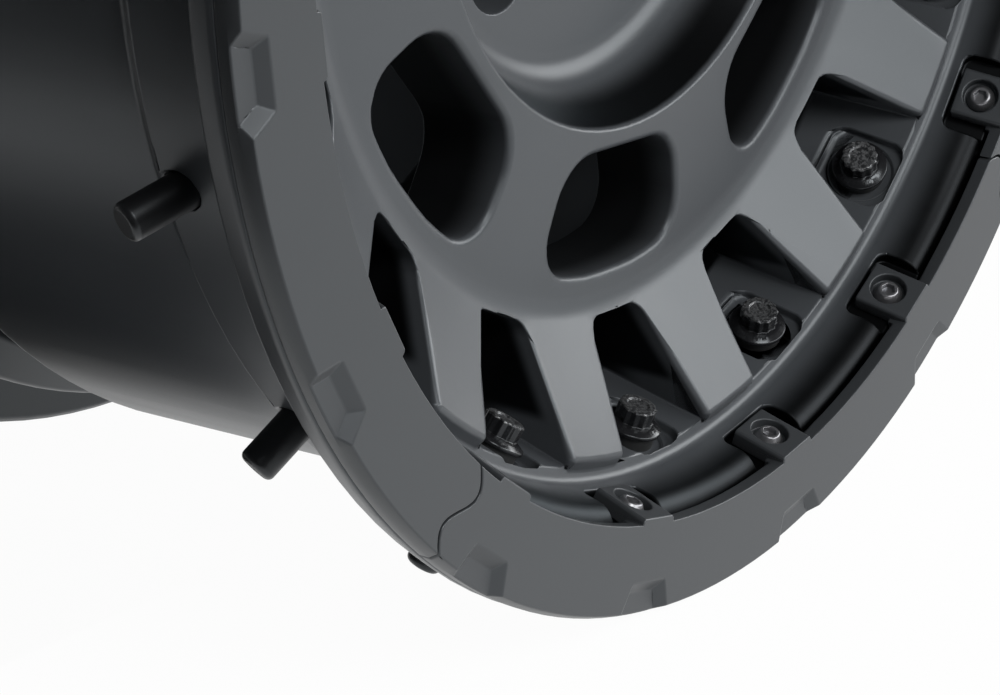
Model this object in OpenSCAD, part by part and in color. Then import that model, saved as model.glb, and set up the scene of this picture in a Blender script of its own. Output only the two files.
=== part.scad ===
// Alloy wheel with an internal bead lock. A cast wheel carries a trim ring in
// four segments, screwed to its lip by tabs, and a ring of lock bolts that
// reach from the windows through the outboard bead seat to hold the tyre's
// bead from inside. Sizes are in millimetres.
//
// Inside the modules the wheel's axis is Z. z = 0 is the front face of the
// trim ring, and z falls towards the car. on_car() turns the wheel so that
// its axis is Y, with the hub face at y = 0 and the front towards -Y.

/* [Hub] */
// Depth of the hub face behind the front face of the trim ring
hub_depth = 100; // [97:0.5:108]
// Thickness of the hub at the floor of the bowl
hub_t = 32; // [29:0.5:34]
// Diameter of the pad that seats on the car's hub
hub_pad_d = 158; // [150:1:164]
// Depth of the pockets between the lug holes in that pad
pad_pocket_h = 10; // [4:0.5:16]
// Diameter of the centre bore
bore_d = 71.5; // [60:0.1:84]
// Chamfer at both ends of the centre bore
bore_chamfer = 1.5; // [0.5:0.1:2.5]
// Number of lug holes
lug_count = 5; // [4:1:6]
// Diameter of the circle through the lug holes
lug_pcd = 127; // [120:0.1:128]
// Diameter of the lug holes
lug_hole_d = 14.5; // [12.5:0.1:16]
// Diameter of the lug seat's cone at its mouth
lug_seat_d = 23; // [20:0.5:26]
// Included angle of the lug seat's cone
lug_cone = 60; // [50:1:90]
// Diameter of the pocket over each lug hole
lug_pocket_d = 29; // [27:0.5:30]
// Metal left under each lug pocket
lug_floor_t = 16; // [14:0.5:20]

/* [Bowl and face] */
// Radius of the bowl at its rim
bowl_rim_r = 101.5; // [98:0.5:103]
// Radial run of the bowl's wall, from its floor to its rim
bowl_wall_run = 12.5; // [9:0.5:14]
// Fillet between the bowl's wall and floor
bowl_fillet = 12.4; // [6:0.1:14]
// Rounding of the bowl's rim
bowl_round = 1.6; // [0.8:0.1:4]
// Depth of the face at the rim of the bowl
face_depth = 44.5; // [42:0.5:46]
// Radius of the crease where the face turns up into the spokes
crease_r = 154.1; // [151:0.1:157]
// Depth of the crease
crease_depth = 47.9; // [46:0.1:50]
// Fillet in the crease
crease_fillet = 16; // [4:0.5:18]
// Thickness of the disc at the crease
disc_t = 28; // [24:0.5:32]

/* [Spokes and windows] */
// Number of spokes, outer windows, tabs and lock bolts
spoke_count = 16; // [12:4:16]
// Angle of the first outer window, which has a lock bolt in it
window_angle = -90; // [-90:22.5:90]
// Drop from the bead seats to the outer end of a spoke's sloping face
spoke_end_in = 23.5; // [22.5:0.1:25.5]
// Depth at the outer end of a spoke's sloping face
spoke_end_depth = 23; // [21:0.5:24]
// Rounding at the outer end of a spoke's sloping face
spoke_end_round = 2.4; // [0.8:0.1:3]
// Depth of a spoke's back at the rim
spoke_back_depth = 63; // [58:0.5:66]
// Metal left in front of the hollow in a spoke's back
spoke_wall = 9; // [7:0.5:14]
// Metal left on each side of that hollow
spoke_side = 7; // [6:0.5:9]
// Distance from the crease out to an outer window
outer_window_gap = 4.4; // [3.5:0.1:8]
// Width of an outer window at its inner edge
outer_window_w = 26.2; // [20:0.1:30]
// Angle by which each side of an outer window opens outward
outer_window_splay = 16.7; // [14:0.1:18]
// Corner radius of an outer window
outer_window_corner = 6.5; // [3:0.5:8]
// Width of the face between the bowl and an inner window
inner_window_gap = 6; // [5:0.1:9]
// Distance from an inner window out to the crease
inner_window_land = 8.2; // [6:0.1:12]
// Width of an inner window at its inner edge
inner_window_w = 57; // [50:0.5:60]
// Angle by which each side of an inner window opens outward
inner_window_splay = 16.4; // [14:0.1:18]
// Corner radius at an inner window's inner edge
inner_window_corner = 17; // [10:0.5:18]
// Corner radius at an inner window's outer edge
inner_window_end_corner = 13; // [8:0.5:15]

/* [Rim] */
// Radius of the bead seats at the flanges. All other radii at the rim follow it
bead_seat_r = 218.4; // [216:0.1:222]
// Height of both flanges and of the trim ring over the bead seats
flange_h = 17.6; // [16.5:0.1:19]
// Width between the flanges, where the tyre's beads sit
bead_w = 228.6; // [215:0.1:235]
// Axial width of the front flange behind the trim ring
front_flange_w = 10.5; // [9:0.5:12]
// Axial width of the rear flange
rear_flange_w = 12; // [10:0.5:14]
// Length of each bead seat
seat_w = 33; // [30:0.5:34]
// Drop from the bead seats to the humps that end them
hump_drop = 1; // [0.5:0.1:1.5]
// Drop from the bead seats to the barrel behind the front hump
barrel_front_drop = 7.9; // [7:0.1:10]
// Drop from the bead seats to the barrel in front of the well
barrel_rear_drop = 3.8; // [3:0.1:6]
// Drop from the bead seats to the well
well_drop = 18.9; // [16:0.1:22]
// Flat width of the well
well_w = 29; // [24:0.5:34]
// Wall thickness of the barrel
barrel_t = 6.5; // [5:0.1:8]
// Depth of the valve hole, which is in the barrel behind the disc
valve_depth = 95; // [90:1:120]
// Diameter of the valve hole
valve_d = 11.5; // [11:0.1:12]
// Diameter of the spot face round the valve hole, inside the barrel
valve_spot_d = 20; // [18:0.5:24]
// Wall left at the valve hole
valve_wall = 4.6; // [3.5:0.1:5]

/* [Lip] */
// Drop from the bead seats to the foot of the lip's dish
crest_drop = 16.7; // [16.2:0.1:17]
// Depth of the foot of the dish
crest_depth = 24.9; // [24.2:0.1:25.4]
// Fillet at the foot of the dish
crest_fillet = 3.8; // [2:0.1:4.5]
// Angle between the dish's steep wall and the wheel's axis
dish_draft = 11.3; // [8:0.1:13]
// Radius of the round from the dish to the seat of the trim ring
dish_round = 8; // [5:0.5:9]
// Drop from the bead seats to the front of the shelf in the windows
shelf_drop = 21.1; // [20.6:0.1:21.9]
// Taper angle of the shelf
shelf_taper = 15; // [13:0.5:17]
// Depth at the rear end of the shelf
shelf_end_depth = 62; // [59:0.5:65]

/* [Lock bolts] */
// Tilt of the lock bolts and of the tabs from the wheel's radius
lock_tilt = 17; // [15:0.5:18]
// Drop from the bead seats to a lock pocket's floor at the bolt
lock_drop = 21.4; // [21:0.1:21.7]
// Depth of a lock pocket's floor at the bolt
lock_depth = 37.5; // [37:0.1:38.5]
// Width of a lock pocket
lock_pocket_w = 25.2; // [23.2:0.1:28]
// Reach of a lock pocket towards the front from the bolt
lock_pocket_front = 11.9; // [11.6:0.1:11.9]
// Reach of a lock pocket towards the rear from the bolt
lock_pocket_rear = 14; // [12:0.1:15]
// Corner radius of a lock pocket
lock_pocket_corner = 5; // [2:0.5:6]
// Diameter of the spot face under a bolt's flange
spot_d = 22; // [20:0.1:23]
// Diameter of a lock bolt's flange
lock_flange_d = 18.6; // [16:0.1:19.4]
// Thickness of a lock bolt's flange at the head
lock_flange_t = 2.6; // [2.2:0.1:3.6]
// Thickness of a lock bolt's flange at its edge
lock_flange_edge = 1.2; // [0.8:0.1:2]
// Diameter of a lock bolt's head across its twelve points
lock_head_d = 12.4; // [11:0.1:13]
// Height of a lock bolt's head over its flange
lock_head_h = 5.2; // [4:0.1:7]
// Diameter of a lock bolt's shank
lock_shank_d = 10.5; // [9:0.1:11]
// Reach of a lock bolt's tip from its pocket's floor
lock_reach = 38.5; // [30:0.1:40]
// Rounding of a lock bolt's tip
lock_tip_round = 1.8; // [0.5:0.1:3]
// Diameter of the sealing bush under a lock bolt's flange
seal_d = 16.4; // [15:0.1:18]
// Height of the bush over the pocket's floor
seal_rise = 3.4; // [1:0.1:4]
// Depth of the bush in its spot face
seal_t = 1; // [0.5:0.1:2]

/* [Trim ring] */
// Thickness of the trim ring
ring_t = 6.5; // [5.5:0.1:7]
// Radial width of the trim ring
ring_w = 27.65; // [27:0.05:28.4]
// Radial width of the chamfer on the trim ring's front outer edge
ring_chamfer_w = 1.3; // [0.5:0.1:3]
// Depth of that chamfer
ring_chamfer_h = 3.06; // [1:0.02:4]
// Radial width of the relief behind the trim ring's inner edge
relief_w = 5; // [3:0.1:6]
// Depth of that relief
relief_h = 1.8; // [0.5:0.1:2.5]
// Number of segments in the trim ring
segment_count = 4; // [2:2:4]
// Angle from a seam to the first tab of its segment
seam_lead = 5.65; // [5.3:0.05:6]
// Gap between two segments
seam_gap = 0.8; // [0.4:0.1:1.2]
// Swing of the S-shaped seam to each side
seam_swing = 4.8; // [0:0.1:5]
// Radial length of one full wave of the seam
seam_wave = 27; // [26:0.1:30]
// Reach of a notch from the ring's outer edge to the inner edge of its floor
notch_reach = 10.4; // [9:0.1:12]
// Half width of a notch at its inner edge
notch_half_w = 9; // [6:0.1:10]
// Depth of a notch
notch_depth = 2.6; // [1.5:0.1:4]
// Angle by which a notch's ends open outward
notch_splay = 24; // [15:0.5:28]
// Slope of a notch's walls from the wheel's axis
notch_draft = 55; // [30:1:60]

/* [Tabs] */
// Drop from the ring's inner edge to a tab's top at its screw
tab_drop = 4.85; // [4.6:0.05:5.2]
// Depth of a tab's top at its screw
tab_depth = 9.9; // [9.5:0.1:10.3]
// Width of a tab's top
tab_w = 16.9; // [15:0.1:18]
// Thickness of a tab
tab_t = 5.5; // [5:0.1:6]
// Reach of a tab behind its screw
tab_rear = 8; // [7:0.1:8.5]
// Chamfer along the edges of a tab's top
tab_chamfer = 0.8; // [0.2:0.1:1.5]
// Gap behind a tab in its pocket
tab_rear_gap = 1.7; // [0.5:0.1:2]
// Gap beside a tab in its pocket
tab_side_gap = 5.3; // [2:0.1:6]
// Corner radius of a tab's pocket in the lip
tab_pocket_corner = 3.5; // [1.5:0.5:5]
// Diameter of the counterbore in a tab
counterbore_d = 11.8; // [10.5:0.1:12.5]
// Depth of the counterbore
counterbore_h = 3.4; // [2.5:0.1:3.6]
// Diameter of a ring screw's head
screw_head_d = 9.4; // [8.5:0.1:10]
// Height of a ring screw's head
screw_head_h = 3.3; // [2.5:0.1:3.6]
// Width of the hexagon socket across its flats
screw_socket_w = 4; // [3:0.1:4.5]
// Diameter of a ring screw's shank
screw_d = 6; // [5:0.1:6.2]
// Length of a ring screw's shank
screw_shank_l = 9; // [7:0.1:9.5]

/* [Hidden] */
// Smoothness of round faces in the preview
$fn = 96;
// Largest turn of one step round a fillet in an outline
arc_step = 11.25;
// How far a cutter runs past the face that it opens
past = 1;
// How far a cutter that opens a whole side runs
far = 40;
// How far one body's outline runs into the body it is joined to
merge = 6;

// Clearances between pieces
shank_clear = 0.2;
thread_clear = 0.1;
screw_hole_clear = 0.3;

// Full thickness left on the trim ring beside each tab
relief_land = 1.5;

// Radii at the rim
flange_r = bead_seat_r + flange_h;
hump_r = bead_seat_r - hump_drop;
barrel_front_r = bead_seat_r - barrel_front_drop;
barrel_rear_r = bead_seat_r - barrel_rear_drop;
well_r = bead_seat_r - well_drop;
crest_r = bead_seat_r - crest_drop;
shelf_r = bead_seat_r - shelf_drop;
lock_r = bead_seat_r - lock_drop;
spoke_end_r = bead_seat_r - spoke_end_in;
ring_in_r = flange_r - ring_w;
notch_r = flange_r - notch_reach;
tab_r = ring_in_r - tab_drop;

// Radii in the disc
bowl_floor_r = bowl_rim_r - bowl_wall_run;
inner_window_r = bowl_rim_r + inner_window_gap;
inner_window_end_r = crease_r - inner_window_land;
outer_window_r = crease_r + outer_window_gap;

// Heights along the axis
lip_z = -ring_t;
bead_front_z = lip_z - front_flange_w;
hump_front_z = bead_front_z - seat_w;
bead_rear_z = bead_front_z - bead_w;
hump_rear_z = bead_rear_z + seat_w;
rim_end_z = bead_rear_z - rear_flange_w;
hub_z = -hub_depth;
bowl_z = hub_z + hub_t;
lug_z = hub_z + lug_floor_t;
disc_back_z = -crease_depth - disc_t;

// Outline of the rim outside
edge_break = 0.5;
flange_land = 2.5;
flange_taper = 1.7;
flange_corner = 1.8;
seat_fillet = 3;
hump_w = 8;
hump_land = 4;
well_front_w = 8;
well_rear_w = 12;
well_fillet = 5;
well_rear_z = hump_rear_z + hump_land + well_rear_w;
well_front_z = well_rear_z + well_w;
barrel_start_z = hump_front_z - hump_w;
barrel_end_z = well_front_z + well_front_w;

// Outline of the rim inside
knee = barrel_t * 0.6;
crest_z = -crest_depth;
shelf_lag = 0.7;
shelf_z = crest_z - shelf_lag;
shelf_end_z = -shelf_end_depth;
shelf_end_r = shelf_r - (shelf_z - shelf_end_z) * tan(shelf_taper);
shelf_back_w = 18;
dish_r = crest_r + (lip_z - crest_z) * tan(dish_draft);

// Outline of the disc
spoke_end_w = 5.9;
spoke_end_drop = 4;
pad_rise = 18;
pad_flare = 14;
join_r = spoke_end_r + spoke_end_w + merge / 3;
end_join = merge / 4;

// Hollows in the disc's back
hollow_start = 8;
hollow_end_in = 34;
hollow_corner = 5;
pad_pocket_r = 50;
pad_pocket_end_r = 70;
pad_pocket_w = 18;
pad_pocket_splay = 17;
pad_pocket_corner = 5;

// Pattern angles
pitch = 360 / spoke_count;
tab_angle = window_angle + pitch / 2;
tabs_per_segment = spoke_count / segment_count;
seam_angle = tab_angle - seam_lead - 2 * pitch;

// Lock bolts and their seats
bolt_bore_d = lock_shank_d + 2 * shank_clear;
head_foot = 0.4;
head_chamfer = 0.9;
head_dish_d = 7;
head_dish_h = 0.5;
countersink_w = 1;
countersink_depth = (bead_seat_r - lock_r) / cos(lock_tilt) - countersink_w / 2;

// Ring screws
screw_top_w = 0.66;
screw_socket_h = 2;
thread_l = 8;
screw_hole_h = tab_t + thread_l;

// A node's name with a two-digit number
function named(word, k) = str(word, k < 10 ? "0" : "", k);

// Unit vector along v
function unit(v) = v / norm(v);

// Points of a closed outline given as corners [x, y, fillet radius]
function rounded(corners) = [
    for (i = [0 : len(corners) - 1])
        let (
            total = len(corners),
            before = corners[(i + total - 1) % total],
            here = corners[i],
            after = corners[(i + 1) % total]
        )
        each corner_points(
            [here[0], here[1]],
            unit([before[0] - here[0], before[1] - here[1]]),
            unit([after[0] - here[0], after[1] - here[1]]),
            here[2]
        )
];

// Points round one corner, whose sides leave it along back and ahead
function corner_points(corner, back, ahead, fillet) =
    fillet == 0 ? [corner] :
    let (
        inside = acos(back * ahead),
        centre = corner + unit(back + ahead) * fillet / sin(inside / 2),
        start = corner + back * fillet / tan(inside / 2) - centre,
        turn = (180 - inside) * sign(cross(back, ahead)) * -1,
        from = atan2(start[1], start[0]),
        steps = ceil(abs(turn) / arc_step)
    )
    [for (k = [0 : steps]) centre + fillet * [cos(from + turn * k / steps), sin(from + turn * k / steps)]];

// Point of the wheel's section that lies back along a slope tilted by
// lock_tilt from [r, z], and out from it towards the rim
function on_section(r, z, back, out) = [
    r - back * sin(lock_tilt) + out * cos(lock_tilt),
    z - back * cos(lock_tilt) - out * sin(lock_tilt)
];

// Outline of the rim's section
rim_outline = rounded([
    [dish_r, lip_z, dish_round],
    [flange_r - edge_break, lip_z, 0],
    [flange_r, lip_z - edge_break, 0],
    [flange_r, lip_z - flange_land, 0],
    [flange_r - flange_taper, bead_front_z + flange_corner, 0],
    [flange_r - flange_taper - flange_corner, bead_front_z, 0],
    [bead_seat_r, bead_front_z, seat_fillet],
    [hump_r, hump_front_z, 0],
    [barrel_front_r, barrel_start_z, seat_fillet],
    [barrel_rear_r, barrel_end_z, well_fillet],
    [well_r, well_front_z, well_fillet],
    [well_r, well_rear_z, well_fillet],
    [hump_r, hump_rear_z + hump_land, seat_fillet],
    [hump_r, hump_rear_z, 0],
    [bead_seat_r, bead_rear_z, seat_fillet],
    [flange_r - flange_corner, bead_rear_z, 0],
    [flange_r, bead_rear_z - flange_corner, 0],
    [flange_r, rim_end_z + flange_corner, 0],
    [flange_r - flange_corner, rim_end_z, 0],
    [bead_seat_r - barrel_t + flange_corner, rim_end_z, 0],
    [bead_seat_r - barrel_t, rim_end_z + flange_corner, 0],
    [hump_r - barrel_t, hump_rear_z + hump_land - knee, seat_fillet],
    [well_r - barrel_t, well_rear_z - knee, well_fillet],
    [well_r - barrel_t, well_front_z + knee, well_fillet],
    [barrel_rear_r - barrel_t, barrel_end_z + knee, well_fillet],
    [barrel_front_r - barrel_t, shelf_end_z - shelf_back_w, well_fillet],
    [shelf_end_r, shelf_end_z, seat_fillet],
    [shelf_r, shelf_z, 0],
    [crest_r, crest_z, crest_fillet]
]);

// Outline of the disc's section, before the windows are cut
disc_outline = rounded([
    [bore_d / 2, bowl_z - bore_chamfer, 0],
    [bore_d / 2 + bore_chamfer, bowl_z, 0],
    [bowl_floor_r, bowl_z, bowl_fillet],
    [bowl_rim_r, -face_depth, bowl_round],
    [crease_r, -crease_depth, crease_fillet],
    [spoke_end_r, -spoke_end_depth, spoke_end_round],
    [spoke_end_r + spoke_end_w, -spoke_end_depth - spoke_end_drop, 0],
    [join_r, -spoke_end_depth - merge, 0],
    [join_r, -spoke_back_depth, 0],
    [shelf_end_r + end_join, -spoke_back_depth, 0],
    [crease_r, disc_back_z, 0],
    [hub_pad_d / 2 + pad_flare + pad_rise, disc_back_z, seat_fillet],
    [hub_pad_d / 2 + pad_flare, hub_z + pad_rise, seat_fillet],
    [hub_pad_d / 2, hub_z, 0],
    [bore_d / 2 + bore_chamfer, hub_z, 0],
    [bore_d / 2, hub_z + bore_chamfer, 0]
]);

// Outline of the trim ring's section
ring_outline = [
    [ring_in_r, 0],
    [flange_r - ring_chamfer_w, 0],
    [flange_r, -ring_chamfer_h],
    [flange_r, lip_z],
    [ring_in_r, lip_z]
];

// Turns the wheel from its modelling axis to its place on the car
module on_car() {
    rotate([90, 0, 0]) translate([0, 0, hub_depth]) children();
}

// Puts children on the tilted slope at [r, z]: their X runs back along the
// slope, their Y round the wheel and their Z out towards the rim
module on_slope(angle, r, z) {
    rotate([0, 0, angle]) translate([r, 0, z]) rotate([0, 90 + lock_tilt, 0]) children();
}

// Children repeated once per spoke pitch, the first at the given angle
module round_the_wheel(angle) {
    for (k = [0 : spoke_count - 1]) rotate([0, 0, angle + k * pitch]) children();
}

// Angle at which a side that opens by splay from [r, w / 2] reaches end_r
function end_angle(r, end_r, w, splay) =
    splay + asin((w / 2 - r * tan(splay)) * cos(splay) / end_r);

// Plan of a window: straight inner edge at r, outer edge along the circle of
// radius end_r, sides splayed
module window_plan(r, end_r, w, splay, corner, end_corner) {
    a = end_angle(r, end_r, w, splay);
    bow_r = end_r / cos(a / 3);
    polygon(rounded([
        [r, w / 2, corner],
        [end_r * cos(a), end_r * sin(a), end_corner],
        [bow_r * cos(a / 3), bow_r * sin(a / 3), end_r / 2],
        [bow_r * cos(a / 3), -bow_r * sin(a / 3), end_r / 2],
        [end_r * cos(a), -end_r * sin(a), end_corner],
        [r, -w / 2, corner]
    ]));
}

// The same plan as a cutter through the whole disc
module window_cut(r, end_r, w, splay, corner, end_corner) {
    translate([0, 0, hub_z]) linear_extrude(hub_depth)
        window_plan(r, end_r, w, splay, corner, end_corner);
}

// Front of the hollow in a spoke's back at radius r
function hollow_z(r) =
    -crease_depth - spoke_wall
    + (r - crease_r) * (crease_depth - spoke_end_depth) / (spoke_end_r - crease_r);

// Hollow in the back of one spoke, between two outer windows
module spoke_hollow_cut() {
    r = crease_r + hollow_start;
    end_r = bead_seat_r - hollow_end_in;
    wide = 2 * (end_r * sin(pitch / 2) - spoke_side)
        - outer_window_w - 2 * (end_r - outer_window_r) * tan(outer_window_splay);
    rotate([90, 0, 0]) linear_extrude(wide, center = true)
        polygon(rounded([
            [r, hollow_z(r), hollow_corner],
            [end_r, hollow_z(end_r), hollow_corner],
            [end_r, hub_z, 0],
            [r, hub_z, 0]
        ]));
}

// Pocket in the pad between two lug holes
module pad_pocket_cut() {
    translate([0, 0, hub_z - past]) linear_extrude(pad_pocket_h + past)
        window_plan(pad_pocket_r, pad_pocket_end_r, pad_pocket_w, pad_pocket_splay,
            pad_pocket_corner, pad_pocket_corner);
}

// Valve hole through the barrel, with the spot face round it inside
module valve_cut() {
    slope = (barrel_rear_r - barrel_front_r) / (barrel_start_z - barrel_end_z);
    outside_r = barrel_front_r + (valve_depth + barrel_start_z) * slope;
    rotate([0, 0, -window_angle]) translate([crease_r, 0, -valve_depth]) rotate([0, 90, 0]) {
        cylinder(d = valve_d, h = flange_r - crease_r);
        cylinder(d = valve_spot_d, h = outside_r - valve_wall - crease_r);
    }
}

// Pocket over the lug hole, with its cone and the hole
module lug_cut() {
    cone_h = (lug_seat_d - lug_hole_d) / 2 / tan(lug_cone / 2);
    translate([lug_pcd / 2, 0, 0]) {
        translate([0, 0, lug_z]) cylinder(d = lug_pocket_d, h = hub_t);
        translate([0, 0, lug_z - cone_h]) cylinder(d1 = lug_hole_d, d2 = lug_seat_d, h = cone_h);
        translate([0, 0, hub_z - past]) cylinder(d = lug_hole_d, h = hub_t);
    }
}

// Pocket, spot face and bore for one lock bolt, on its slope
module lock_cut() {
    front = -lock_pocket_front;
    half_w = lock_pocket_w / 2;
    translate([0, 0, -far / 2]) linear_extrude(far / 2)
        polygon(rounded([
            [front, half_w, lock_pocket_corner],
            [lock_pocket_rear, half_w, lock_pocket_corner],
            [lock_pocket_rear, -half_w, lock_pocket_corner],
            [front, -half_w, lock_pocket_corner]
        ]));
    translate([0, 0, -past]) cylinder(d = spot_d, h = seal_t + past);
    cylinder(d = bolt_bore_d, h = far);
    translate([0, 0, countersink_depth])
        cylinder(d1 = bolt_bore_d, d2 = bolt_bore_d + 4 * countersink_w, h = 2 * countersink_w);
}

// Pocket and tapped hole in the lip for one tab, on its slope
module tab_pocket_cut() {
    rear = tab_rear + tab_rear_gap;
    half_w = tab_w / 2 + tab_side_gap;
    translate([0, 0, -far / 2]) linear_extrude(far / 2 + tab_t)
        polygon(rounded([
            [rear, half_w, tab_pocket_corner],
            [rear, -half_w, tab_pocket_corner],
            [-far, -half_w, 0],
            [-far, half_w, 0]
        ]));
    cylinder(d = screw_d + 2 * thread_clear, h = screw_hole_h);
}

// The cast wheel: rim and disc in one piece
module wheel_casting() {
    color("dimgray") on_car() difference() {
        union() {
            rotate_extrude() polygon(rim_outline);
            difference() {
                rotate_extrude() polygon(disc_outline);
                round_the_wheel(window_angle)
                    window_cut(outer_window_r, flange_r, outer_window_w, outer_window_splay,
                        outer_window_corner, 0);
                for (k = [0 : spoke_count / 2 - 1])
                    rotate([0, 0, window_angle + 2 * k * pitch])
                        window_cut(inner_window_r, inner_window_end_r, inner_window_w,
                            inner_window_splay, inner_window_corner, inner_window_end_corner);
                round_the_wheel(tab_angle) spoke_hollow_cut();
                for (k = [0 : lug_count - 1])
                    rotate([0, 0, -window_angle + k * 360 / lug_count]) {
                        lug_cut();
                        rotate([0, 0, 180 / lug_count]) pad_pocket_cut();
                    }
            }
        }
        valve_cut();
        for (k = [0 : spoke_count - 1]) {
            on_slope(window_angle + k * pitch, lock_r, -lock_depth) lock_cut();
            on_slope(tab_angle + k * pitch, tab_r, -tab_depth) tab_pocket_cut();
        }
    }
}

// Angle of the seam's S curve at radius r, shifted by an offset along the ring
function seam_at(angle, r, shift) =
    angle + (shift + seam_swing * sin(360 * (r - ring_in_r) / seam_wave)) / r * 180 / PI;

// Points of a seam from inside the ring to outside it
function seam_points(angle, shift) = [
    for (k = [-2 : 26])
        let (r = ring_in_r + k * (flange_r - ring_in_r) / 24, a = seam_at(angle, r, shift))
        [r * cos(a), r * sin(a)]
];

// Plan of one segment, between the seam that starts it and the next one
function segment_plan(angle) =
    let (
        span = 360 / segment_count,
        first = seam_points(angle, seam_gap / 2),
        last = seam_points(angle + span, -seam_gap / 2),
        wide = 2 * flange_r
    )
    concat(
        first,
        [for (k = [0 : 4]) wide * [cos(angle + span * k / 4), sin(angle + span * k / 4)]],
        [for (k = [len(last) - 1 : -1 : 0]) last[k]],
        [[0, 0]]
    );

// One notch in the ring's outer edge, with three sloping walls
module notch_cut() {
    run = notch_depth * tan(notch_draft);
    rise = run * past / notch_depth;
    intersection() {
        rotate([90, 0, 0]) linear_extrude(far, center = true)
            polygon([
                [notch_r - rise, past],
                [notch_r + run, -notch_depth],
                [flange_r + far, -notch_depth],
                [flange_r + far, past]
            ]);
        notch_side_cut(run, rise);
        mirror([0, 1, 0]) notch_side_cut(run, rise);
    }
}

// Everything on the inner side of one sloping end wall of a notch
module notch_side_cut(run, rise) {
    translate([notch_r, notch_half_w, 0]) rotate([0, 0, notch_splay])
        rotate([90, 0, 90]) linear_extrude(2 * far, center = true)
            polygon([
                [rise, past],
                [-run, -notch_depth],
                [-run, -notch_depth - past],
                [-2 * far, -notch_depth - past],
                [-2 * far, past]
            ]);
}

// Relief behind the ring's inner edge, between the tabs of one segment
module relief_cut(angle) {
    difference() {
        translate([0, 0, lip_z - past]) difference() {
            cylinder(r = ring_in_r + relief_w, h = relief_h + past);
            translate([0, 0, -past]) cylinder(r = ring_in_r - merge, h = relief_h + 3 * past);
        }
        for (i = [0 : tabs_per_segment - 1])
            rotate([0, 0, angle + i * pitch])
                translate([ring_in_r - far / 2, -tab_w / 2 - relief_land, lip_z - 2 * past])
                    cube([far, tab_w + 2 * relief_land, relief_h + 3 * past]);
    }
}

// One tab, on the plane of its screw
module tab() {
    z = -tab_depth;
    front = z / cos(lock_tilt);
    sunk = (z + ring_t / 2 - tab_t * sin(lock_tilt)) / cos(lock_tilt);
    inside_r = ring_in_r + merge;
    half_w = tab_w / 2;
    intersection() {
        rotate([90, 0, 0]) linear_extrude(2 * tab_w, center = true)
            polygon([
                on_section(tab_r, z, front, 0),
                on_section(tab_r, z, tab_rear, 0),
                on_section(tab_r, z, tab_rear, tab_t),
                on_section(tab_r, z, sunk, tab_t),
                [inside_r, 0]
            ]);
        on_slope(0, tab_r, z) rotate([90, 0, 90]) linear_extrude(2 * far, center = true)
            polygon([
                [-half_w, tab_chamfer],
                [-half_w + tab_chamfer, 0],
                [half_w - tab_chamfer, 0],
                [half_w, tab_chamfer],
                [half_w, far],
                [-half_w, far]
            ]);
    }
}

// One segment of the trim ring with its tabs and notches
module ring_segment(k) {
    start = seam_angle + (k - 1) * 360 / segment_count;
    color("slategray") on_car() difference() {
        union() {
            intersection() {
                rotate_extrude() polygon(ring_outline);
                translate([0, 0, lip_z - past]) linear_extrude(ring_t + 2 * past)
                    polygon(segment_plan(start));
            }
            for (i = [0 : tabs_per_segment - 1])
                rotate([0, 0, start + seam_lead + i * pitch]) tab();
        }
        relief_cut(start + seam_lead);
        for (i = [0 : tabs_per_segment - 1]) {
            angle = start + seam_lead + i * pitch;
            rotate([0, 0, angle]) notch_cut();
            on_slope(angle, tab_r, -tab_depth) {
                translate([0, 0, -past]) cylinder(d = counterbore_d, h = counterbore_h + past);
                cylinder(d = screw_d + 2 * screw_hole_clear, h = 2 * tab_t);
            }
        }
    }
}

// Twelve-point bolt with a flange. Its tip passes the bead seat
module lock_bolt(k) {
    under_z = -seal_rise;
    flange_z = under_z - lock_flange_t;
    top_z = flange_z - lock_head_h;
    shank_r = lock_shank_d / 2;
    head_r = lock_head_d / 2;
    color("#1b1c1e") on_car() on_slope(window_angle + (k - 1) * pitch, lock_r, -lock_depth)
        difference() {
            union() {
                intersection() {
                    translate([0, 0, top_z]) linear_extrude(lock_head_h + lock_flange_t / 2) {
                        circle(r = head_r, $fn = 6);
                        rotate(30) circle(r = head_r, $fn = 6);
                    }
                    rotate_extrude() polygon([
                        [0, top_z],
                        [head_r - head_chamfer, top_z],
                        [head_r + head_chamfer, top_z + head_chamfer * 2 / sqrt(3)],
                        [head_r + head_chamfer, under_z],
                        [0, under_z]
                    ]);
                }
                rotate_extrude() polygon(rounded([
                    [0, flange_z, 0],
                    [head_r + head_foot, flange_z, 0],
                    [lock_flange_d / 2, under_z - lock_flange_edge, 0],
                    [lock_flange_d / 2, under_z, 0],
                    [shank_r, under_z, 0],
                    [shank_r, lock_reach, lock_tip_round],
                    [0, lock_reach, 0]
                ]));
            }
            translate([0, 0, top_z - past]) cylinder(d = head_dish_d, h = head_dish_h + past);
        }
}

// Sealing bush that one lock bolt's flange clamps in its spot face
module bolt_seal(k) {
    color("black") on_car() on_slope(window_angle + (k - 1) * pitch, lock_r, -lock_depth)
        translate([0, 0, -seal_rise]) difference() {
            cylinder(d = seal_d, h = seal_rise + seal_t);
            translate([0, 0, -past]) cylinder(d = bolt_bore_d, h = seal_rise + seal_t + 2 * past);
        }
}

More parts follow.
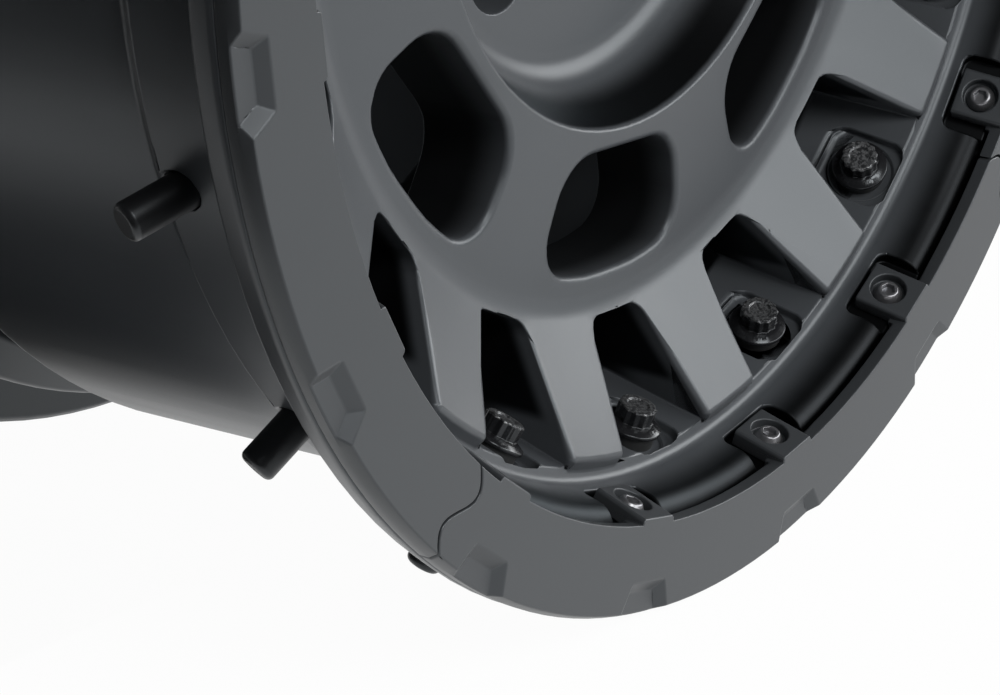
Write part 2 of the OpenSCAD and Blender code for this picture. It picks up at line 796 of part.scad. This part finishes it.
// Button-head screw that holds one tab to the lip
module ring_screw(k) {
    top_z = counterbore_h - screw_head_h;
    head_r = screw_head_d / 2;
    color("#2a2b2e") on_car() on_slope(tab_angle + (k - 1) * pitch, tab_r, -tab_depth)
        difference() {
            rotate_extrude() polygon(rounded([
                [0, top_z, 0],
                [head_r * screw_top_w, top_z, screw_head_h / 4],
                [head_r, counterbore_h - screw_head_h / 4, screw_head_h / 8],
                [head_r, counterbore_h, 0],
                [screw_d / 2, counterbore_h, 0],
                [screw_d / 2, counterbore_h + screw_shank_l, 0],
                [0, counterbore_h + screw_shank_l, 0]
            ]));
            translate([0, 0, top_z - past])
                cylinder(d = screw_socket_w * 2 / sqrt(3), h = screw_socket_h + past, $fn = 6);
        }
}

wheel_casting();
for (k = [1 : segment_count])
    ring_segment(k);
for (k = [1 : spoke_count])
    lock_bolt(k);
for (k = [1 : spoke_count])
    bolt_seal(k);
for (k = [1 : spoke_count])
    ring_screw(k);
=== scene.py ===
import math

import bmesh
import bpy
from mathutils import Matrix, Vector


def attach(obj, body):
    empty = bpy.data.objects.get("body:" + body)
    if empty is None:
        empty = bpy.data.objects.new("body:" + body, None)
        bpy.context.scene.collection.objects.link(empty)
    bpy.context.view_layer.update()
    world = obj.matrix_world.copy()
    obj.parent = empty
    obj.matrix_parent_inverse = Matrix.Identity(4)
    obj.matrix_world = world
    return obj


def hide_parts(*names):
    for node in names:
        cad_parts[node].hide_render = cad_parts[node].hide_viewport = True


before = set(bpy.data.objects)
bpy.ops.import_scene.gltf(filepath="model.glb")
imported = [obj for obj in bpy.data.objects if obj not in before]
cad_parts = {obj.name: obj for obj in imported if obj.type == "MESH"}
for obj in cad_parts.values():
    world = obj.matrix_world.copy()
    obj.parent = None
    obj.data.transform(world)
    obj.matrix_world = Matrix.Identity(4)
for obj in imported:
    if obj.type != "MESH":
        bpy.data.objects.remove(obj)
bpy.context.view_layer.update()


# The cast wheel: rim, lip, spokes and hub in one aluminium casting, machined
# and then powder coated in satin graphite. The coat rounds every edge, and the
# windows' edges on the face are rounded more broadly than the rest.
CASTING_EDGE = 0.0007
WINDOW_EDGE = 0.0024
GRAPHITE_DARK = (0.048, 0.052, 0.057)
GRAPHITE_PALE = (0.059, 0.064, 0.070)
GRAPHITE_ROUGHNESS = 0.36
COAT_PEEL = 0.05


class Socket:
    """A shader socket that takes part in plain arithmetic."""

    def __init__(self, tree, socket=None):
        self.tree = tree
        self.socket = socket

    def node(self, kind, settings=None, output=0, **inputs):
        """Adds a node: its settings first, then the values or links of its sockets.

        A socket goes by its name, with _ for a space, or by _ and its number."""
        made = self.tree.nodes.new(kind)
        for name, value in (settings or {}).items():
            setattr(made, name, value)
        for name, value in inputs.items():
            key = int(name[1:]) if name[1:].isdigit() else name.replace("_", " ")
            target = made.inputs[key]
            if isinstance(value, Socket):
                self.tree.links.new(value.socket, target)
            else:
                target.default_value = value
        return Socket(self.tree, made.outputs[output])

    def maths(self, operation, first, second):
        return self.node("ShaderNodeMath", {"operation": operation}, _0=first, _1=second)

    def __add__(self, other):
        return self.maths("ADD", self, other)

    __radd__ = __add__

    def __sub__(self, other):
        return self.maths("SUBTRACT", self, other)

    def __rsub__(self, other):
        return self.maths("SUBTRACT", other, self)

    def __mul__(self, other):
        return self.maths("MULTIPLY", self, other)

    __rmul__ = __mul__

    def between(self, low, high):
        """Goes smoothly from 0 at low to 1 at high."""
        return self.node(
            "ShaderNodeMapRange",
            {"interpolation_type": "SMOOTHSTEP"},
            Value=self,
            From_Min=low,
            From_Max=high,
        )

    def noise(self, scale, detail, roughness):
        return self.node(
            "ShaderNodeTexNoise", Vector=self, Scale=scale, Detail=detail, Roughness=roughness
        )

    def axis_radius(self):
        """Distance of these coordinates from the wheel's axis, which is Y."""
        across = self.node("ShaderNodeVectorMath", {"operation": "MULTIPLY"}, _0=self, _1=(1, 0, 1))
        return across.node("ShaderNodeVectorMath", {"operation": "LENGTH"}, output=1, _0=across)

    def along_axis(self):
        return self.node("ShaderNodeSeparateXYZ", output=1, Vector=self)

    def blend(self, colour_a, colour_b):
        """A colour that goes from colour_a to colour_b as this socket goes from 0 to 1."""
        return self.node(
            "ShaderNodeMix",
            {"data_type": "RGBA", "clamp_factor": True},
            output=2,
            _0=self,
            _6=colour_a,
            _7=colour_b,
        )


def rgb(red, green, blue):
    return (red, green, blue, 1.0)


def new_material(name):
    """A material, its Principled shader, and a socket on its Object coordinates."""
    material = bpy.data.materials.new(name)
    material.use_nodes = True
    tree = material.node_tree
    place = Socket(tree).node("ShaderNodeTexCoord", output="Object")
    return material, tree.nodes["Principled BSDF"], place


def feed(node, name, value):
    value.tree.links.new(value.socket, node.inputs[name])


# A noise is given by its scale, detail and roughness.
CLOUDS = (22.0, 3.0, 0.5)
SPECKS = (900.0, 2.0, 0.6)
PEEL = (420.0, 2.0, 0.5)
CLOUD_SHARE = 0.7
SPECK_SHARE = 0.3
CLOUD_ROUGHNESS = 0.06
SPECK_ROUGHNESS = 0.05
PEEL_HEIGHT = 0.0002
COAT_TINT = (0.90, 0.96, 1.0)


def coat(name, dark, pale, roughness, metallic, peel, zones=None):
    """A coat with faint clouds in colour and gloss and a fine orange peel.

    zones gives, for a place, how much of another colour it shows, how much
    rougher it is, and that colour, which is also made metallic there. On the
    casting that colour is painted shade, near-black, so it dims reflections too."""
    material, shader, place = new_material(name)
    clouds = place.noise(*CLOUDS)
    specks = place.noise(*SPECKS)
    colour = (clouds * CLOUD_SHARE + specks * SPECK_SHARE).blend(rgb(*dark), rgb(*pale))
    smoothest = roughness - (CLOUD_ROUGHNESS + SPECK_ROUGHNESS) / 2
    rough = clouds * CLOUD_ROUGHNESS + specks * SPECK_ROUGHNESS + smoothest
    if zones is None:
        shader.inputs["Metallic"].default_value = metallic
    else:
        share, rougher, zone_colour = zones(place)
        colour = share.blend(colour, rgb(*zone_colour))
        rough = rough + rougher
        feed(shader, "Metallic", share * (1 - metallic) + metallic)
    feed(shader, "Base Color", colour)
    feed(shader, "Roughness", rough)
    bumps = place.node(
        "ShaderNodeBump", Strength=peel, Distance=PEEL_HEIGHT, Height=place.noise(*PEEL)
    )
    feed(shader, "Normal", bumps)
    shader.inputs["Specular Tint"].default_value = rgb(*COAT_TINT)
    return material


# Each pair is the stretch over which a zone of painted shade on the casting's coat
# begins or ends, in radius or along the axis, where the ring's front is at -0.1.
# In these zones a near-black colour stands for shade and dims the reflections.
PAINTED_SHADE_COLOUR = (0.0085, 0.0090, 0.0096)
BEHIND_FACE = (-0.054, -0.040)
BOWL_OUTSIDE = (0.1030, 0.1045)
BARREL_INSIDE = (0.205, 0.207)
INSIDE_SHADE = 0.93
INSIDE_ROUGHER = 0.35
SHELF_TAPER = 0.268
SHELF_FLOOR = (0.1755, 0.1768)
SHELF_REAR = (-0.039, -0.036)
SPOKE_SLOPE = 0.61
SPOKE_FACE = 0.0419
UNDER_SPOKE_FACE = (0.0035, 0.0090)
WALL_INNER_END = (0.152, 0.158)
WALL_OUTER_END = (0.183, 0.187)
WALL_SHADE = 0.9
DISH_FOOT = (0.2022, 0.2048)
DISH_TOP = (0.2125, 0.2135)
DISH_REAR = (-0.0780, -0.0772)
DISH_SHADE = 0.94
DISH_ROUGHER = 0.05
BOWL_WALL_FOOT = (0.0915, 0.0965)
BOWL_WALL_TOP = (0.1002, 0.1010)
BOWL_WALL_SHADE = 0.92


def casting_shade_zones(place):
    """Painted shade: the coat is darkened to a near-black metallic colour, which dims
    its reflections, inside the barrel, down the windows' walls, on the turned dish
    and on the bowl's steep wall. The shelves in the windows are kept out of it."""
    radius = place.axis_radius()
    depth = place.along_axis()
    shelf = (radius + depth * SHELF_TAPER).between(*SHELF_FLOOR)
    shelf = shelf * (1 - depth.between(*SHELF_REAR))
    # Painted shade in the recesses: inside the barrel behind the face, and down the windows' walls.
    inside = depth.between(*BEHIND_FACE) * radius.between(*BOWL_OUTSIDE)
    inside = inside * (1 - radius.between(*BARREL_INSIDE)) * (1 - shelf)
    wall = (depth + radius * SPOKE_SLOPE - SPOKE_FACE).between(*UNDER_SPOKE_FACE)
    wall = wall * radius.between(*WALL_INNER_END) * (1 - radius.between(*WALL_OUTER_END))
    # Painted shade on the turned dish, which dims its reflection of the front light.
    dish = radius.between(*DISH_FOOT) * (1 - radius.between(*DISH_TOP))
    dish = dish * (1 - depth.between(*DISH_REAR))
    # Painted shade on the bowl's steep wall.
    bowl_wall = radius.between(*BOWL_WALL_FOOT) * (1 - radius.between(*BOWL_WALL_TOP))
    shaded_recesses = 1 - (1 - inside * INSIDE_SHADE) * (1 - wall * WALL_SHADE)
    painted_shade = shaded_recesses + dish * DISH_SHADE + bowl_wall * BOWL_WALL_SHADE
    return painted_shade, inside * INSIDE_ROUGHER + dish * DISH_ROUGHER, PAINTED_SHADE_COLOUR


FACE_RADII = (0.104, 0.1965)
CREASE_RADII = (0.150, 0.1672)
FORWARD_TILT = -0.7
SIDEWAYS_TILT = 0.3


def is_window_edge(side):
    """True for an edge where the front of the disc or of a spoke meets a window's wall."""
    middle = (side.verts[0].co + side.verts[1].co) / 2
    radius = math.hypot(middle.x, middle.z)
    on_face = FACE_RADII[0] < radius < FACE_RADII[1]
    in_crease = CREASE_RADII[0] < radius < CREASE_RADII[1]
    tilts = sorted(face.normal.y for face in side.link_faces)
    meets_wall = tilts[0] < FORWARD_TILT and abs(tilts[-1]) < SIDEWAYS_TILT
    return on_face and meets_wall and not in_crease


MERGE_DISTANCE = 0.00008
FLAT_ANGLE = math.radians(0.4)
SHARP_ANGLE = math.radians(28)
FINE_SEGMENTS = 2
BROAD_SEGMENTS = 3
SHADING_WEIGHT = 80


def finished_copy(node_name, piece_name, edge, material, broad_edge=0, is_broad=None):
    """A merged copy of a CAD node with rounded edges, which stands for the node."""
    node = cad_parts[node_name]
    build = bmesh.new()
    build.from_mesh(node.data)
    bmesh.ops.remove_doubles(build, verts=build.verts, dist=MERGE_DISTANCE)
    bmesh.ops.dissolve_limit(
        build,
        angle_limit=FLAT_ANGLE,
        verts=build.verts,
        edges=build.edges,
        use_dissolve_boundaries=False,
    )
    for face in build.faces:
        face.smooth = True
    build.normal_update()
    widest = max(edge, broad_edge)
    weights = build.edges.layers.float.new("bevel_weight_edge")
    for side in build.edges:
        if side.calc_face_angle(0) > SHARP_ANGLE:
            broad = is_broad is not None and is_broad(side)
            side[weights] = (broad_edge if broad else edge) / widest
    mesh = bpy.data.meshes.new(piece_name)
    build.to_mesh(mesh)
    build.free()
    mesh.materials.clear()
    mesh.materials.append(material)
    piece = bpy.data.objects.new(piece_name, mesh)
    bpy.context.scene.collection.objects.link(piece)
    bevel = piece.modifiers.new("rounded_edges", "BEVEL")
    bevel.limit_method = "WEIGHT"
    bevel.width = widest
    bevel.segments = BROAD_SEGMENTS if broad_edge else FINE_SEGMENTS
    bevel.use_clamp_overlap = False
    bevel.miter_outer = "MITER_ARC"
    normals = piece.modifiers.new("even_shading", "WEIGHTED_NORMAL")
    normals.weight = SHADING_WEIGHT
    normals.keep_sharp = True
    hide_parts(node_name)
    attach(piece, "root")


# The graphite coat carries painted shade inside the barrel and windows, on the dish and on the
# bowl's wall.
wheel_coat = coat(
    "graphite_coat",
    GRAPHITE_DARK,
    GRAPHITE_PALE,
    GRAPHITE_ROUGHNESS,
    metallic=0.0,
    peel=COAT_PEEL,
    zones=casting_shade_zones,
)
finished_copy(
    "wheel_casting",
    "cast_wheel",
    CASTING_EDGE,
    wheel_coat,
    broad_edge=WINDOW_EDGE,
    is_broad=is_window_edge,
)


# The sealing bushes: moulded black rubber, one in the mouth of each lock
# bolt's hole. They keep the tyre's air in and hold the bolt's flange a little
# off the floor of its pocket.
LOCK_COUNT = 16
BUSH_EDGE = 0.0001
RUBBER_DARK = (0.014, 0.014, 0.014)
RUBBER_PALE = (0.020, 0.020, 0.020)
RUBBER_ROUGHNESS = 0.6
RUBBER_PEEL = 0.1

seal_rubber = coat(
    "black_rubber", RUBBER_DARK, RUBBER_PALE, RUBBER_ROUGHNESS, metallic=0.0, peel=RUBBER_PEEL
)
for number in range(1, LOCK_COUNT + 1):
    finished_copy(
        f"bolt_seal_{number:02d}",
        f"bolt_seal_black_{number:02d}",
        BUSH_EDGE,
        seal_rubber,
    )


# The lock bolts: forged steel bolts with a twelve-point head and a flange,
# coated in gloss black. Each is screwed in from a window until its tip comes
# out of the bead seat, where it holds the tyre's bead.
BOLT_EDGE = 0.0003
BOLT_DARK = (0.006, 0.006, 0.007)
BOLT_PALE = (0.014, 0.014, 0.015)
BOLT_ROUGHNESS = 0.21
BOLT_PEEL = 0.08

BOLT_TILT = math.radians(17)
POCKET_RADIUS = 0.197
POCKET_DEPTH = -0.0625
HEAD_TOP = (-0.0106, -0.0103)
HEAD_TOP_ROUGHER = 0.14
SCALE_COLOUR = (0.26, 0.265, 0.27)
FORGE_SCALE = (850.0, 4.0, 0.75)
SCALE_PATCHES = (0.44, 0.60)
BOLT_TIP = (0.212, 0.216)
BOLT_TIP_ROUGHER = 0.16


def bolt_zones(place):
    """The heads' tops are scaled from forging, and the tips are duller than the heads."""
    radius = place.axis_radius()
    along_bolt = (radius - POCKET_RADIUS) * math.cos(BOLT_TILT)
    along_bolt = along_bolt + (place.along_axis() - POCKET_DEPTH) * math.sin(BOLT_TILT)
    top = 1 - along_bolt.between(*HEAD_TOP)
    patches = place.noise(*FORGE_SCALE).between(*SCALE_PATCHES)
    tip = radius.between(*BOLT_TIP)
    return top * patches, top * HEAD_TOP_ROUGHER + tip * BOLT_TIP_ROUGHER, SCALE_COLOUR


bolt_black = coat(
    "black_oxide",
    BOLT_DARK,
    BOLT_PALE,
    BOLT_ROUGHNESS,
    metallic=0.0,
    peel=BOLT_PEEL,
    zones=bolt_zones,
)
for number in range(1, LOCK_COUNT + 1):
    finished_copy(
        f"lock_bolt_{number:02d}",
        f"lock_bolt_black_{number:02d}",
        BOLT_EDGE,
        bolt_black,
    )


# The trim ring: four machined aluminium segments with S-shaped seams, coated
# like the wheel but a shade darker. Each has four tabs in one piece with it,
# which lie in pockets in the wheel's lip.
SEGMENT_COUNT = 4
RING_EDGE = 0.0005
RING_DARK = (0.033, 0.0355, 0.0385)
RING_PALE = (0.041, 0.044, 0.0475)
RING_ROUGHNESS = 0.38

ring_coat = coat(
    "ring_coat", RING_DARK, RING_PALE, RING_ROUGHNESS, metallic=0.0, peel=COAT_PEEL
)
for number in range(1, SEGMENT_COUNT + 1):
    finished_copy(
        f"ring_segment_{number:02d}",
        f"ring_segment_coated_{number:02d}",
        RING_EDGE,
        ring_coat,
    )


# The ring screws: blackened steel button-head screws with a hexagon socket.
# One goes through each tab of the ring into the wheel's lip.
SCREW_COUNT = 16
SCREW_EDGE = 0.0002
SCREW_DARK = (0.20, 0.20, 0.21)
SCREW_PALE = (0.27, 0.27, 0.28)
SCREW_ROUGHNESS = 0.30
SCREW_METALLIC = 0.8
SCREW_PEEL = 0.06

screw_black = coat(
    "screw_black", SCREW_DARK, SCREW_PALE, SCREW_ROUGHNESS, SCREW_METALLIC, SCREW_PEEL
)
for number in range(1, SCREW_COUNT + 1):
    finished_copy(
        f"ring_screw_{number:02d}",
        f"ring_screw_black_{number:02d}",
        SCREW_EDGE,
        screw_black,
    )


# The studio: the wheel stands on its flanges on a wide sheet of white paper,
# with a long soft light in front of it and smaller ones on its right and on its
# upper left. Two dark cloths on the floor keep light off its left side.
FLOOR_HEIGHT = -0.2361
FLOOR_HALF = 30.0
SHEET_FACES = 4
PAPER_COOL = (0.86, 0.865, 0.87)
PAPER_WARM = (0.9, 0.9, 0.9)
PAPER_CLOUDS = (3.0, 4.0, 0.5)
PAPER_ROUGHNESS = 0.9
PAPER_SHINE = 0.2
BACKDROP_SHARE = 0.97

CLOTH_HEIGHT = FLOOR_HEIGHT + 0.001
CLOTH_DARK = 0.012
CLOTH_PALE = CLOTH_DARK * 1.1
CLOTH_WEAVE = (60.0, 2.0, 0.5)
CLOTH_ROUGHNESS = 0.95
CLOTH_SHINE = 0.1

WORLD_COLOUR = (0.92, 0.96, 1.0)
WORLD_STRENGTH = 0.06

CAMERA_PLACE = Vector((-0.698208, -0.489646, 0.093387))
CAMERA_RIGHT = Vector((0.57711681, -0.81531931, 0.04680391))
CAMERA_UP = Vector((0.21789952, 0.20896527, 0.95333799))
CAMERA_SENSOR = 36
CAMERA_LENS = 101.888
CAMERA_SHIFT = (0.00662, -0.02869)
CAMERA_NEAR = 0.01


def lay_sheet(name, low, high, height):
    """A flat sheet from its corner low to its corner high, a few faces each way."""
    build = bmesh.new()
    bmesh.ops.create_grid(build, x_segments=SHEET_FACES, y_segments=SHEET_FACES, size=0.5)
    size = (high[0] - low[0], high[1] - low[1], 1)
    bmesh.ops.scale(build, verts=build.verts, vec=size)
    middle = ((low[0] + high[0]) / 2, (low[1] + high[1]) / 2, height)
    bmesh.ops.translate(build, verts=build.verts, vec=middle)
    mesh = bpy.data.meshes.new(name)
    build.to_mesh(mesh)
    build.free()
    sheet = bpy.data.objects.new(name, mesh)
    bpy.context.scene.collection.objects.link(sheet)
    return sheet


def lay_paper():
    """White paper, which the camera and reflections see almost purely white."""
    half = FLOOR_HALF
    paper = lay_sheet("floor", low=(-half, -half), high=(half, half), height=FLOOR_HEIGHT)
    material, shader, place = new_material("floor_paper")
    clouds = place.noise(*PAPER_CLOUDS)
    feed(shader, "Base Color", clouds.blend(rgb(*PAPER_COOL), rgb(*PAPER_WARM)))
    shader.inputs["Roughness"].default_value = PAPER_ROUGHNESS
    shader.inputs["Specular IOR Level"].default_value = PAPER_SHINE
    seen = place.node("ShaderNodeLightPath", output="Is Camera Ray")
    seen = seen + place.node("ShaderNodeLightPath", output="Is Glossy Ray")
    seen = seen + place.node("ShaderNodeLightPath", output="Is Transmission Ray")
    surface = place.node(
        "ShaderNodeMixShader",
        _0=seen * BACKDROP_SHARE,
        _1=Socket(place.tree, shader.outputs["BSDF"]),
        _2=place.node("ShaderNodeEmission", Color=rgb(1, 1, 1), Strength=1.0),
    )
    feed(place.tree.nodes["Material Output"], "Surface", surface)
    paper.data.materials.append(material)


def lay_cloth(name, low, high):
    """A dark cloth that the camera doesn't see."""
    cloth = lay_sheet(name, low, high, CLOTH_HEIGHT)
    cloth.visible_camera = False
    material, shader, place = new_material(name)
    dark = rgb(CLOTH_DARK, CLOTH_DARK, CLOTH_DARK)
    pale = rgb(CLOTH_PALE, CLOTH_PALE, CLOTH_PALE)
    feed(shader, "Base Color", place.noise(*CLOTH_WEAVE).blend(dark, pale))
    shader.inputs["Roughness"].default_value = CLOTH_ROUGHNESS
    shader.inputs["Specular IOR Level"].default_value = CLOTH_SHINE
    cloth.data.materials.append(material)


def hang_softbox(name, place, width, height, radiance):
    """A soft light that faces the wheel. The camera doesn't see the lamp itself."""
    lamp = bpy.data.lights.new(name, "AREA")
    lamp.shape = "RECTANGLE"
    lamp.size = width
    lamp.size_y = height
    lamp.energy = radiance * math.pi * width * height
    box = bpy.data.objects.new(name, lamp)
    turn = (-Vector(place)).to_track_quat("-Z", "Y")
    box.matrix_world = Matrix.Translation(place) @ turn.to_matrix().to_4x4()
    box.visible_camera = False
    bpy.context.scene.collection.objects.link(box)


def set_world():
    world = bpy.data.worlds.new("studio")
    world.use_nodes = True
    background = world.node_tree.nodes["Background"]
    background.inputs["Color"].default_value = rgb(*WORLD_COLOUR)
    background.inputs["Strength"].default_value = WORLD_STRENGTH
    bpy.context.scene.world = world


def place_camera():
    """The camera stands where the photograph was taken from."""
    lens = bpy.data.cameras.new("camera")
    lens.sensor_fit = "HORIZONTAL"
    lens.sensor_width = CAMERA_SENSOR
    lens.lens = CAMERA_LENS
    lens.shift_x, lens.shift_y = CAMERA_SHIFT
    lens.clip_start = CAMERA_NEAR
    camera = bpy.data.objects.new("camera", lens)
    back = CAMERA_RIGHT.cross(CAMERA_UP)
    turn = Matrix((CAMERA_RIGHT, CAMERA_UP, back)).transposed()
    camera.matrix_world = Matrix.Translation(CAMERA_PLACE) @ turn.to_4x4()
    bpy.context.scene.collection.objects.link(camera)
    bpy.context.scene.camera = camera


lay_paper()
lay_cloth("dark_mat", low=(-3.0, -2.0), high=(-0.34, 2.5))
lay_cloth("dark_card", low=(-0.25, 0.02), high=(-0.09, 0.7))
hang_softbox("front_light", (1.55, -2.40, 1.08), width=5.4, height=1.15, radiance=5.6)
hang_softbox("right_light", (3.0, 0.3, 0.50), width=2.6, height=1.5, radiance=2.8)
hang_softbox("left_light", (-1.3, -2.3, 2.1), width=1.6, height=1.2, radiance=8.5)
set_world()
place_camera()
bpy.context.scene.view_settings.view_transform = "Standard"
